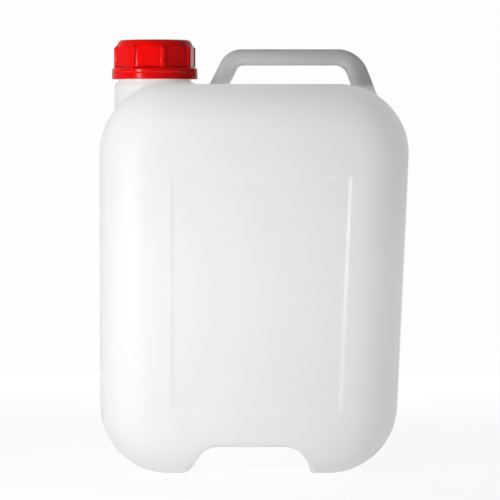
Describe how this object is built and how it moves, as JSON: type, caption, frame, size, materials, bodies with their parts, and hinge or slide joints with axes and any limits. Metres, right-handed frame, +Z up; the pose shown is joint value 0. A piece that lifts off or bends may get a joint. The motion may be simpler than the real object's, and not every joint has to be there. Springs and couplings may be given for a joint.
{
  "type": "plastic jerrycan",
  "caption": "Upright blow-moulded plastic jerrycan with a moulded-on carrying grip, recessed label panels, a channel between its feet and a ribbed screw cap on a corner neck.",
  "frame": {"origin": "middle of the overall box at the level of the feet", "axes": "+Z up along the neck, +X from the neck towards the far end of the grip, front label panel towards -Y"},
  "size_m": [0.222, 0.192, 0.3128],
  "materials": {
    "natural_polyethylene": "satin natural polyethylene, slightly translucent",
    "red_plastic": "glossy moulded red",
    "liner_foam": "matt white foamed liner"
  },
  "bodies": {
    "can": {"can_body": "natural_polyethylene", "tamper_ring": "red_plastic"},
    "disc": {"sealing_disc": "liner_foam"},
    "cap": {"screw_cap": "red_plastic"}
  },
  "joints": [
    {"name": "cap_rise", "type": "slide", "parent": "can", "child": "disc", "axis": [0, 0, 1], "range_m": [0, 0.015]},
    {"name": "cap_turn", "type": "hinge", "parent": "disc", "child": "cap", "pos_m": [-0.0732, 0, 0.29], "axis": [0, 0, 1], "range_deg": [0, 900]}
  ],
  "couplings": [
    {"joint": "cap_rise", "follows": "cap_turn", "m_per_rad": 0.00095492}
  ]
}
